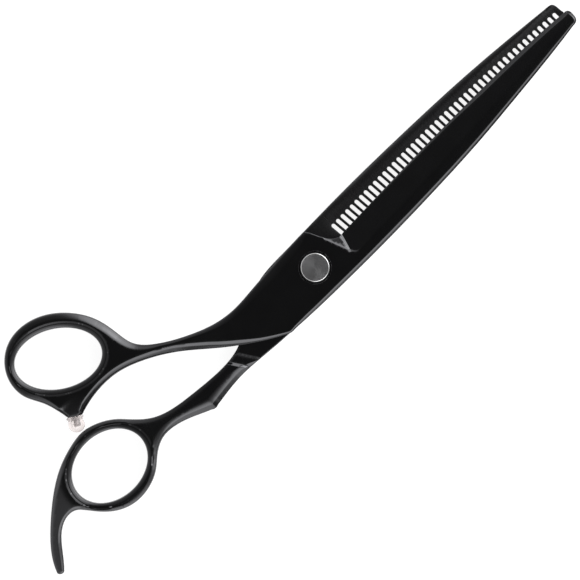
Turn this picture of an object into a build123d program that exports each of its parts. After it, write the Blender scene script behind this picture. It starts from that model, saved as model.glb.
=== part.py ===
from build123d import *
import math
import os

# Thinning shears, closed. Millimetres. The origin is on the pivot axis, in the plane of the back
# face; +Y runs along the blades to the tips and +Z points out of the front, past the bolt head.
# The toothed half lies at the back, the plain half on top of it, and each half is a blade welded
# to a handle across the flat shank behind the pivot.

# ---- driving dimensions --------------------------------------------------------------------

# levels through the thickness
plate_t = 3.4              # each half at the pivot
ride_gap = 0.1             # running gap between the halves
handle_t = 5.7             # rings, shanks and finger rest
weld_y = -18.0             # joint between blade and handle

# teeth
slot_count = 47
slot_pitch = 1.647
first_slot_y = 10.88
slot_width = 0.95
slot_open_x = 2.0          # the slots are cut out past the tooth tips
slot_tilt_heel = 5.0       # degrees, falling to none at the tip

# blade sections
plunge_line = [(-9.0, 3.9), (-1.0, 7.5), (3.3, 9.2), (9.0, 11.5)]   # start of the plain ground face
spine_chamfer = 0.45
edge_t_heel = 0.9          # plain blade at its cutting edge
edge_t_tip = 0.5
plain_crown_heel = 4.6     # X at which the ground face starts to fall
plain_crown_tip = 2.0
spine_t_tip = 2.4
tooth_t_heel = 1.5         # teeth at their tips
tooth_t_tip = 1.0
tooth_crown = -5.5         # X at which the toothed blade starts to thin
back_t_tip = 2.2           # toothed blade at its spine
hollow_y = 14.0            # heel end of the hollows in the inner faces
hollow_depth = 0.18
plain_hollow_heel = (-0.7, 6.9)         # X of a hollow's two sides
plain_hollow_tip = (-0.9, 2.3)
toothed_hollow_heel = (-7.7, -0.8)
toothed_hollow_tip = (-4.5, -1.0)

# finger rings
ring_round = 1.05          # rounding inside the finger holes
plain_round = 0.8          # rounding of the handles' outer edges
toothed_round = 0.5
plain_hole = (11.03, 7.46, 58.0)        # half length, half width, lean of the long axis
plain_hole_at = (-29.13, -61.24)
toothed_hole = (10.36, 8.14, 87.8)
toothed_hole_at = (-1.23, -71.03)

# ramp from plate level to full handle thickness
ramp_run = 2.5
ramp_lean = 33.0           # degrees between the ramp's foot and the X axis
toothed_ramp_at = (3.5, -27.65)
plain_ramp_at = (-5.0, -24.7)
slope_y = (-26.0, -38.0)   # gentle slope on the outer faces, start and end

# pivot
head_r = 3.6
head_t = 1.4
head_chamfer = 0.3
head_bore_r = 4.0
head_bore_depth = 1.0
seat_washer_t = 0.3
seat_washer_r = 3.85
neck_r = 2.6
neck_flat = 2.05           # distance of the neck's flats from the axis
neck_play = 0.03
journal_r = 2.2
journal_play = 0.03
bush_r = 3.1
thread_r = 1.75
thread_flat = 1.4
ride_washer_r = 5.9
ride_recess_r = 6.0
ride_recess_depth = 0.3
nut_r = 4.8
nut_t = 1.1
nut_bore_r = 5.0
nut_bore_depth = 1.7
nut_recess = 0.05          # the nut lies this far inside the back face
washer_r = 4.5
key_washer_t = 0.25
spring_washer_t = 0.25
spanner_hole_r = 0.55
spanner_pcd = 6.6
spanner_hole_depth = 0.8

# stop bumper
stop_top = (-15.25, -67.15)              # upper corner of the stop arm's end face
stop_width = 3.2
stop_lean = -31.4                       # degrees, direction of the bumper's axis
bumper_r = 2.2
bumper_len = 4.1
bumper_dome = 2.0
bumper_seat_gap = 0.02
stud_r = 0.9
stud_embed = 3.2                        # thread inside the arm
stud_in_cap = 2.4

# ---- levels worked out ---------------------------------------------------------------------

front_z0 = plate_t + ride_gap
front_z1 = front_z0 + plate_t
mid_z = front_z1 / 2
handle_z0 = mid_z - handle_t / 2
handle_z1 = mid_z + handle_t / 2
tip_y = 89.9
heel_y = 9.6
beyond = 60.0              # far enough to clear a handle
clear_x = 9.0              # clear of both blades' sides

stop_axis = Vector(math.cos(math.radians(stop_lean)), math.sin(math.radians(stop_lean)), 0)
down_stop = stop_axis.rotate(Axis.Z, -90)
stop_middle = Vector(*stop_top, mid_z) + down_stop * (stop_width / 2)
stop_plane = Plane(origin=stop_middle, z_dir=stop_axis)
stop_foot = (stop_top[0] + down_stop.X * stop_width, stop_top[1] + down_stop.Y * stop_width)

# ---- plan outlines -------------------------------------------------------------------------

plain_spine = [(2.75, 89.0), (3.95, 80), (5.4, 66), (6.75, 50.5), (7.5, 35), (7.9, 18),
               (7.85, 2), (7.5, -10.5), (7.15, -15.9)]
plain_shank = [(7.15, -15.9), (3.3, -22.65), (-2.6, -30.85), (-9.4, -39.05), (-13.7, -46.2),
               (-16.3, -53.5), (-16.55, -60.0), (-15.3, -66.15)]
stop_corner = [(-15.3, -66.15), (-15.15, -66.75), stop_top]
plain_ring = [stop_foot, (-20.15, -70.5), (-23.85, -71.7), (-28.25, -73.85), (-33.15, -74.0),
              (-37.8, -71.55), (-40.8, -66.9), (-41.2, -61.5), (-39.35, -56.1), (-35.15, -51.05),
              (-29.7, -47.7), (-23.6, -46.35), (-18.85, -45.35), (-14.5, -41.25), (-10.4, -34.2),
              (-7.7, -27.15), (-6.9, -21.5), (-7.2, -15.5), (-7.8, -7.0), (-8.2, 0), (-8.3, 4.25)]
plain_heel = [(-8.3, 4.25), (-4.6, 6.3), (-2.2, 7.9), (-1.2, heel_y)]
plain_edge = [(-1.2, heel_y), (-1.5, 20), (-1.95, 38), (-2.1, 58), (-1.85, 75), (-1.0, 89.3)]
plain_nose = [(-1.0, 89.3), (-0.4, tip_y), (0.8, tip_y + 0.1), (2.1, 89.75), (2.75, 89.0)]

toothed_tip = [(-4.85, 87.4), (-4.5, 88.05), (-3.3, 88.5), (-1.3, 88.75)]
tooth_line = [(0.0, 88.2), (0.2, 50), (0.3, 10.0)]
toothed_heel = [(0.3, 10.0), (3.5, 9.0), (6.4, 5.5), (7.25, 0)]
toothed_side = [(7.25, 0), (7.3, -8), (7.15, -16), (6.9, -20), (6.35, -26.5), (6.1, -31),
                (6.5, -37), (7.15, -41.4)]
toothed_notch = [(7.15, -41.4), (7.28, -42.2), (6.9, -43.1)]
toothed_right = [(6.9, -43.1), (4.9, -47.5), (3.25, -52.5), (3.15, -56.45), (4.95, -60.25),
                 (7.6, -63.5), (9.5, -67.85), (9.85, -72.0), (8.8, -76.05), (6.15, -79.85),
                 (2.4, -83.0), (0.7, -84.7), (0.2, -87.0), (1.4, -90.35), (4.6, -93.7),
                 (9.4, -97.75)]
rest_end = [(9.4, -97.75), (9.3, -98.8), (8.45, -99.3)]
toothed_left = [(8.45, -99.3), (4.3, -97.05), (-0.3, -92.9), (-5.6, -86.65), (-9.5, -80.4),
                (-11.55, -74.3), (-12.05, -70.0), (-11.05, -66.05), (-8.5, -61.8), (-4.8, -58.2),
                (-2.05, -54.75), (-0.4, -50.45), (0.7, -43.5), (1.3, -37.0), (1.25, -31.5),
                (0.45, -27.7), (-2.65, -22.4), (-6.3, -15.95), (-7.85, -10.0), (-8.15, -3),
                (-8.3, 4.3), (-8.5, 22), (-8.15, 40), (-7.3, 60), (-6.1, 75), (-4.85, 87.4)]


def outline(*stretches):
    """Closed plan outline from smooth stretches that meet at corners."""
    with BuildSketch() as plan:
        with BuildLine():
            for stretch in stretches:
                if len(stretch) == 2:
                    Line(*stretch)
                elif len(stretch) == 3:
                    ThreePointArc(*stretch)
                else:
                    Spline(*stretch)
        make_face()
    return plan.sketch


plain_plan = outline(plain_spine, plain_shank, stop_corner, [stop_corner[-1], stop_foot],
                     plain_ring, plain_heel, plain_edge, plain_nose)
toothed_plan = outline(toothed_tip, [toothed_tip[-1], tooth_line[0]], tooth_line, toothed_heel,
                       toothed_side, toothed_notch, toothed_right, rest_end, toothed_left)
weld_plane = Plane(origin=(0, weld_y, 0), z_dir=(0, 1, 0))


def across(y):
    """Plane across the blades at Y = y, drawn in (x, z)."""
    return Plane(origin=(0, y, 0), x_dir=(1, 0, 0), z_dir=(0, -1, 0))


def handle_block(plan, hole, hole_at, outer_round, shortest):
    """Handle at its full thickness, with its finger hole.

    Outline edges longer than shortest are rounded by outer_round.
    """
    with BuildPart() as block:
        with BuildSketch(Plane.XY.offset(handle_z0)):
            add(plan)
        extrude(amount=handle_t)
        split(bisect_by=weld_plane, keep=Keep.BOTTOM)
        rims = block.edges().filter_by(Plane.XY).filter_by_position(Axis.Y, -200, weld_y - 0.1)
        fillet(rims.filter_by(lambda edge: edge.length > shortest), outer_round)
        with BuildSketch(Plane.XY.offset(handle_z0)):
            with Locations(hole_at):
                Ellipse(hole[0], hole[1], rotation=hole[2])
        extrude(amount=handle_t, mode=Mode.SUBTRACT)
        fillet(block.edges().filter_by(GeomType.ELLIPSE), ring_round)
    return block.part


def handle_root(plan, inner, outer, handle_outer):
    """Plate-level part of a handle at the weld; its outer face slopes to the handle's level."""
    start, end = slope_y
    with BuildPart() as root:
        with BuildSketch(Plane.XY):
            add(plan)
        extrude(amount=front_z1)
        with BuildSketch(Plane.YZ):
            Polygon((weld_y, inner), (weld_y, outer), (start, outer), (end, handle_outer),
                    (end, inner), align=None)
        extrude(amount=beyond, both=True, mode=Mode.INTERSECT)
    return root.part


def ramp_cut(foot_at, lean, level, reach):
    """Material between plate level and the handle's full thickness, on the pivot's side.

    The ramp starts at foot_at; lean turns its foot from the X axis, in degrees.
    """
    away = Vector(math.sin(math.radians(lean)), -math.cos(math.radians(lean)), 0)
    foot = Plane(origin=(foot_at[0], foot_at[1], 0), x_dir=away, z_dir=away.cross(Vector(0, 0, 1)))
    past = reach + (reach - level) * 0.2
    with BuildPart() as cut:
        with BuildSketch(foot):
            Polygon((-beyond, level), (0, level), (ramp_run, reach), (ramp_run * 1.2, past),
                    (-beyond, past), align=None)
        extrude(amount=beyond, both=True)
    return cut.part


def double_d(radius, flat):
    """Round section with two parallel flats."""
    with BuildSketch() as section:
        Circle(radius)
        Rectangle(2 * flat, 2 * radius, mode=Mode.INTERSECT)
    return section.sketch


def slot_root_x(y):
    """X of the closed ends of the slots, on a shallow curve along the blade."""
    return -4.87 + 0.00067 * (y - 31) ** 2


# ---- plain half, in front ------------------------------------------------------------------

with BuildPart() as plain_ground:
    # Everything above the ground face, which is crowned: level at crown_x, it falls more and more
    # steeply to the cutting edge.
    edge_x, over = -3.0, front_z1 + 1
    for y, edge_t, crown_x, crown_t in ((heel_y - 7, edge_t_heel, plain_crown_heel, plate_t),
                                        (tip_y + 1, edge_t_tip, plain_crown_tip, spine_t_tip)):
        low, high = front_z0 + edge_t, front_z0 + crown_t
        with BuildSketch(across(y)):
            with BuildLine():
                TangentArc((crown_x, high), (edge_x, low), tangent=(-1, 0))
                Polyline((edge_x, low), (edge_x, over), (clear_x, over), (clear_x, high),
                         (crown_x, high))
            make_face()
    loft(ruled=True)
    with BuildSketch():
        with BuildLine():
            Polyline(*plunge_line, (clear_x, tip_y + 2), (-clear_x, tip_y + 2), plunge_line[0])
        make_face()
    extrude(amount=over, mode=Mode.INTERSECT)

with BuildPart() as plain_hollow:
    # Shallow trough in the inner face, between the spine and the cutting edge.
    for y, (left, right) in ((hollow_y, plain_hollow_heel), (tip_y - 3, plain_hollow_tip)):
        with BuildSketch(across(y)):
            with BuildLine():
                ThreePointArc((left, front_z0), ((left + right) / 2, front_z0 + hollow_depth),
                              (right, front_z0))
                Polyline((right, front_z0), (right, 0), (left, 0), (left, front_z0))
            make_face()
    loft(ruled=True)

with BuildPart() as plain_blade:
    with BuildSketch(Plane.XY.offset(front_z0)):
        add(plain_plan)
    extrude(amount=plate_t)
    split(bisect_by=weld_plane, keep=Keep.TOP)
    top_edges = plain_blade.edges().group_by(Axis.Z)[-1]
    chamfer(top_edges.filter_by(lambda edge: edge.center().X > 4), spine_chamfer)
    add(plain_ground.part, mode=Mode.SUBTRACT)
    add(plain_hollow.part, mode=Mode.SUBTRACT)
    with BuildSketch(Plane.XY.offset(front_z1)):
        Circle(head_bore_r)
    extrude(amount=-head_bore_depth, mode=Mode.SUBTRACT)
    with BuildSketch(Plane.XY.offset(front_z0)):
        add(double_d(neck_r + neck_play, neck_flat + neck_play))
    extrude(amount=plate_t, mode=Mode.SUBTRACT)
plain_blade.part.label = "plain_blade"

plain_block = handle_block(plain_plan, plain_hole, plain_hole_at, plain_round, 30)
plain_root = handle_root(plain_plan, front_z0, front_z1, handle_z1)
plain_ramp = ramp_cut(plain_ramp_at, -ramp_lean, front_z0, handle_z0)

with BuildPart() as plain_handle:
    add(plain_block)
    add(plain_ramp, mode=Mode.SUBTRACT)
    add(plain_root)
    with Locations(stop_plane):
        Hole(stud_r, stud_embed)
plain_handle.part.label = "plain_handle"

# ---- toothed half, behind ------------------------------------------------------------------

with BuildPart() as toothed_ground:
    # Everything below the ground outer face, which thins the blade towards the tooth tips.
    for y, tooth_t, back_t in ((heel_y - 4, tooth_t_heel, plate_t),
                               (tip_y + 1, tooth_t_tip, back_t_tip)):
        with BuildSketch(across(y)):
            with BuildLine():
                TangentArc((tooth_crown, plate_t - back_t), (slot_open_x, plate_t - tooth_t),
                           tangent=(1, 0))
                Polyline((slot_open_x, plate_t - tooth_t), (slot_open_x, -1), (-clear_x, -1),
                         (-clear_x, plate_t - back_t), (tooth_crown, plate_t - back_t))
            make_face()
    loft(ruled=True)

with BuildPart() as toothed_hollow:
    for y, (left, right) in ((hollow_y, toothed_hollow_heel), (tip_y - 3, toothed_hollow_tip)):
        with BuildSketch(across(y)):
            with BuildLine():
                ThreePointArc((left, plate_t), ((left + right) / 2, plate_t - hollow_depth),
                              (right, plate_t))
                Polyline((right, plate_t), (right, plate_t + 2), (left, plate_t + 2),
                         (left, plate_t))
            make_face()
    loft(ruled=True)

with BuildPart() as toothed_blade:
    with BuildSketch():
        add(toothed_plan)
    extrude(amount=plate_t)
    split(bisect_by=weld_plane, keep=Keep.TOP)
    add(toothed_ground.part, mode=Mode.SUBTRACT)
    add(toothed_hollow.part, mode=Mode.SUBTRACT)
    with BuildSketch() as slots:
        for tooth in range(slot_count):
            y = first_slot_y + tooth * slot_pitch
            root_x = slot_root_x(y)
            tilt = slot_tilt_heel * (1 - tooth / (slot_count - 1))
            with Locations(((root_x + slot_open_x) / 2, y)):
                SlotOverall(slot_open_x - root_x, slot_width, rotation=tilt)
    extrude(amount=plate_t, mode=Mode.SUBTRACT)
    with BuildSketch(Plane.XY.offset(plate_t)):
        Circle(ride_recess_r)
    extrude(amount=-ride_recess_depth, mode=Mode.SUBTRACT)
    with BuildSketch():
        Circle(nut_bore_r)
    extrude(amount=nut_bore_depth, mode=Mode.SUBTRACT)
    with BuildSketch():
        Circle(bush_r)
    extrude(amount=plate_t, mode=Mode.SUBTRACT)
toothed_blade.part.label = "toothed_blade"

toothed_block = handle_block(toothed_plan, toothed_hole, toothed_hole_at, toothed_round, 1)
toothed_root = handle_root(toothed_plan, plate_t, 0, handle_z0)
toothed_ramp = ramp_cut(toothed_ramp_at, ramp_lean, plate_t, handle_z1)

with BuildPart() as toothed_handle:
    add(toothed_block)
    add(toothed_ramp, mode=Mode.SUBTRACT)
    add(toothed_root)
toothed_handle.part.label = "toothed_handle"

# ---- pivot ---------------------------------------------------------------------------------

head_z0 = front_z1 - head_bore_depth + seat_washer_t
journal_z0 = nut_bore_depth
thread_z0 = nut_recess + 0.15
bush_z0 = nut_bore_depth + 0.05
ride_z0 = plate_t - ride_recess_depth

with BuildPart() as pivot_bolt:
    with BuildSketch(Plane.XY.offset(head_z0)):
        Circle(head_r)
    extrude(amount=head_t)
    chamfer(pivot_bolt.edges().sort_by(Axis.Z)[-1], head_chamfer)
    with BuildSketch(Plane.XY.offset(front_z0)):
        add(double_d(neck_r, neck_flat))
    extrude(amount=head_z0 - front_z0)
    with BuildSketch(Plane.XY.offset(journal_z0)):
        Circle(journal_r)
    extrude(amount=front_z0 - journal_z0)
    with BuildSketch(Plane.XY.offset(thread_z0)):
        add(double_d(thread_r, thread_flat))
    extrude(amount=journal_z0 - thread_z0)
pivot_bolt.part.label = "pivot_bolt"

with BuildPart() as seat_washer:
    with BuildSketch(Plane.XY.offset(front_z1 - head_bore_depth)):
        Circle(seat_washer_r)
        Circle(neck_r + neck_play, mode=Mode.SUBTRACT)
    extrude(amount=seat_washer_t)
seat_washer.part.label = "seat_washer"

with BuildPart() as ride_washer:
    with BuildSketch(Plane.XY.offset(ride_z0)):
        Circle(ride_washer_r)
        Circle(journal_r + 2 * journal_play, mode=Mode.SUBTRACT)
    extrude(amount=ride_recess_depth + ride_gap * 0.8)
ride_washer.part.label = "ride_washer"

with BuildPart() as pivot_bush:
    with BuildSketch(Plane.XY.offset(bush_z0)):
        Circle(bush_r)
        Circle(journal_r + journal_play, mode=Mode.SUBTRACT)
    extrude(amount=ride_z0 - bush_z0)
pivot_bush.part.label = "pivot_bush"

with BuildPart() as key_washer:
    with BuildSketch(Plane.XY.offset(nut_bore_depth - 0.02 - key_washer_t)):
        Circle(washer_r)
        add(double_d(thread_r + neck_play, thread_flat + neck_play), mode=Mode.SUBTRACT)
    extrude(amount=key_washer_t)
key_washer.part.label = "key_washer"

with BuildPart() as spring_washer:
    with BuildSketch(Plane.XY.offset(nut_recess + nut_t + 0.02)):
        Circle(washer_r)
        Circle(thread_r + 0.6, mode=Mode.SUBTRACT)
    extrude(amount=spring_washer_t)
spring_washer.part.label = "spring_washer"

with BuildPart() as tension_nut:
    with BuildSketch(Plane.XY.offset(nut_recess)):
        Circle(nut_r)
        Circle(thread_r + journal_play, mode=Mode.SUBTRACT)
    extrude(amount=nut_t)
    with BuildSketch(Plane.XY.offset(nut_recess)):
        with PolarLocations(spanner_pcd / 2, 2):
            Circle(spanner_hole_r)
    extrude(amount=spanner_hole_depth, mode=Mode.SUBTRACT)
tension_nut.part.label = "tension_nut"

# ---- stop bumper ---------------------------------------------------------------------------

cap_plane = stop_plane.offset(bumper_seat_gap)

with BuildPart() as bumper_cap:
    with BuildSketch(cap_plane):
        Circle(bumper_r)
    extrude(amount=bumper_len)
    fillet(bumper_cap.edges().sort_by(Axis(cap_plane.origin, cap_plane.z_dir))[-1], bumper_dome)
    with BuildSketch(cap_plane):
        Circle(stud_r)
    extrude(amount=stud_in_cap, mode=Mode.SUBTRACT)
bumper_cap.part.label = "bumper_cap"

with BuildPart() as bumper_stud:
    with BuildSketch(stop_plane.offset(-stud_embed)):
        Circle(stud_r)
    extrude(amount=stud_embed + bumper_seat_gap + stud_in_cap)
bumper_stud.part.label = "bumper_stud"

# ---- files ---------------------------------------------------------------------------------

os.makedirs("parts", exist_ok=True)
for piece in (plain_blade, plain_handle, toothed_blade, toothed_handle, pivot_bolt, seat_washer,
              ride_washer, pivot_bush, key_washer, spring_washer, tension_nut, bumper_cap,
              bumper_stud):
    export_step(piece.part, f"parts/{piece.part.label}.step")
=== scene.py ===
# Looks of the thinning shears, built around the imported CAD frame. Shapes are worked out in
# millimetres in the frame's own axes, and written to Blender in metres.
import math
import bmesh
import bpy
import numpy as np
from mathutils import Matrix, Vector
from mathutils.geometry import delaunay_2d_cdt
from mathutils.kdtree import KDTree


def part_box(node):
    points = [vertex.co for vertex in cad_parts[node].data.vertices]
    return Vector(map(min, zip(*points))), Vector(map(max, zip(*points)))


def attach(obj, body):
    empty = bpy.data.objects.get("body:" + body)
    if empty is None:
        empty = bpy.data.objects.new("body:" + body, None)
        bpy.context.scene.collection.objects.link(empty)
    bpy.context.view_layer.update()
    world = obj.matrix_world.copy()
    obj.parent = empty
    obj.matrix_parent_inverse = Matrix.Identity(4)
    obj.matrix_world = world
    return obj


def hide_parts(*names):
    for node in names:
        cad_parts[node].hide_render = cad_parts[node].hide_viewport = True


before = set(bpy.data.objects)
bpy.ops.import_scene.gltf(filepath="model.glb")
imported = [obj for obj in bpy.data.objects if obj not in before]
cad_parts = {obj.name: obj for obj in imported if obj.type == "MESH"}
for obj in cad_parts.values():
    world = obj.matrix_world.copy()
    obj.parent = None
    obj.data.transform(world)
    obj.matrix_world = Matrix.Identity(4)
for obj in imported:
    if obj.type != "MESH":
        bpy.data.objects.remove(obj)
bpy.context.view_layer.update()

MM = 0.001
ARRIS = 0.012  # half width of the tiny rounding on every arris
SAME = 0.01  # points closer than this are in the same place
LEAST_EDGE = 0.03  # shorter edges of an outline are dropped


def box_mm(node):
    low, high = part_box(node)
    return np.array(low) / MM, np.array(high) / MM


# ---- levels and places read from the frame ---------------

BACK_Z = box_mm("toothed_blade")[0][2]  # back face
BACK_TOP = box_mm("toothed_blade")[1][2]  # inner face of the toothed half
FRONT_Z = box_mm("plain_blade")[0][2]  # inner face of the plain half
FRONT_TOP = box_mm("plain_blade")[1][2]  # front face
HANDLE_Z0 = box_mm("plain_handle")[0][2]
HANDLE_Z1 = box_mm("toothed_handle")[1][2]
WELD_Y = box_mm("plain_blade")[0][1]


def smoothstep(t):
    t = np.clip(t, 0, 1)
    return t * t * (3 - 2 * t)


def mix(a, b, t):
    return a + (b - a) * t


# ---- plan outlines, cut from the CAD nodes ---------------

def rim_chains(node, z, drop_y):
    """Chains of points in which the plane at height z cuts a node, without those on Y = drop_y."""
    mesh = bmesh.new()
    mesh.from_mesh(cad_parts[node].data)
    bmesh.ops.remove_doubles(mesh, verts=mesh.verts, dist=1e-6)
    bmesh.ops.bisect_plane(mesh, geom=mesh.verts[:] + mesh.edges[:] + mesh.faces[:],
                           plane_co=(0, 0, z * MM), plane_no=(0, 0, 1), clear_inner=True)
    links = {}
    for edge in mesh.edges:
        a, b = edge.verts
        on_weld = all(abs(v.co.y / MM - drop_y) < SAME for v in edge.verts)
        if len(edge.link_faces) == 1 and not on_weld:
            links.setdefault(a, []).append(b)
            links.setdefault(b, []).append(a)
    chains = []
    while links:
        ends = [v for v in links if len(links[v]) == 1]
        here = ends[0] if ends else next(iter(links))
        chain = [here]
        while links.get(here):
            step = links[here].pop()
            links[step].remove(here)
            for v in (here, step):
                if not links[v]:
                    del links[v]
            here = step
            chain.append(here)
        chains.append(np.array([v.co[:2] for v in chain]) / MM)
    mesh.free()
    return chains


def section_loops(levels):
    """Closed loops of the joined nodes, each cut at its own height: the outer loop comes first,
    anticlockwise."""
    whole, parts = [], []
    for chain in (c for node, z in levels.items() for c in rim_chains(node, z, WELD_Y)):
        closed = np.hypot(*(chain[0] - chain[-1])) < SAME
        (whole if closed else parts).append(chain)
    if parts:
        loop = parts.pop(0)
        while parts:
            gaps = [min(np.hypot(*(loop[-1] - p[0])), np.hypot(*(loop[-1] - p[-1]))) for p in parts]
            step = parts.pop(int(np.argmin(gaps)))
            if np.hypot(*(loop[-1] - step[0])) > np.hypot(*(loop[-1] - step[-1])):
                step = step[::-1]
            loop = np.vstack([loop, step])
        whole.append(loop)
    loops = []
    for loop in whole:
        keep = np.hypot(*(loop - np.roll(loop, 1, axis=0)).T) > LEAST_EDGE
        loops.append(loop[keep])
    loops.sort(key=lambda p: -abs(area(p)))
    return [p if (area(p) > 0) == (i == 0) else p[::-1] for i, p in enumerate(loops)]


def area(p):
    q = np.roll(p, -1, axis=0)
    return 0.5 * np.sum(p[:, 0] * q[:, 1] - q[:, 0] * p[:, 1])


def turns(p):
    """Angle in degrees by which a closed polyline turns at each point."""
    before, after = p - np.roll(p, 1, axis=0), np.roll(p, -1, axis=0) - p
    cross = before[:, 0] * after[:, 1] - before[:, 1] * after[:, 0]
    return np.degrees(np.arctan2(cross, (before * after).sum(1)))


def refined(p, spacing=0.28, corner=26.0):
    """The loop with more points on its smooth stretches, which follow a Hermite curve."""
    length = np.hypot(*(np.roll(p, -1, axis=0) - p).T)
    sharp = np.abs(turns(p)) > corner
    out, marks = [], []
    count = len(p)
    for i in range(count):
        j = (i + 1) % count
        step = p[j] - p[i]
        unit = step / length[i]
        before = p[i] - p[i - 1]
        after = p[(j + 1) % count] - p[j]
        left = unit if sharp[i] else (unit * length[i - 1] + before / length[i - 1] * length[i])
        right = unit if sharp[j] else (unit * length[j] + after / length[j] * length[i])
        left = left / np.hypot(*left) * length[i]
        right = right / np.hypot(*right) * length[i]
        pieces = max(1, math.ceil(length[i] / spacing))
        for t in np.arange(pieces) / pieces:
            h = (2 * t**3 - 3 * t**2 + 1, t**3 - 2 * t**2 + t, 3 * t**2 - 2 * t**3, t**3 - t**2)
            out.append(h[0] * p[i] + h[1] * left + h[2] * p[j] + h[3] * right)
            marks.append(bool(sharp[i]) and t == 0)
    return np.array(out), np.array(marks)


# ---- edge profiles ---------------------------------------
# The edge of a face is described by keys along an outline. A key has its X and Y, the width and
# drop of an outer facet, how far that facet is rounded into a quarter-ellipse, from 0 to 1, and
# the width of an inner facet with its tilt in degrees at its outer side and at its inner side.

MAX_MITER = 3.0  # limit to the stretch of an inward step at a sharp corner
LEAST_STEP = 0.008  # rings of points closer than this are left out
SLACK = 0.004  # a ring's point may be this much nearer to an outline than it should be
GRID = 0.6  # step of the grid of points that fills a face
CLEAR_OF_RING, CLEAR_OF_LINE = 0.4, 0.3  # room round grid points, in grid steps
MERGE = 1e-5  # points closer than this become one
CHUNK = 4000  # points measured at a time, to save memory
ROUND_STEPS = np.array([0, 0.034, 0.134, 0.293, 0.5, 0.741, 1.0])  # 1 - cos of 0 to 90 degrees
INNER_STEPS = np.array([0.3, 0.65, 1.0])


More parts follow.
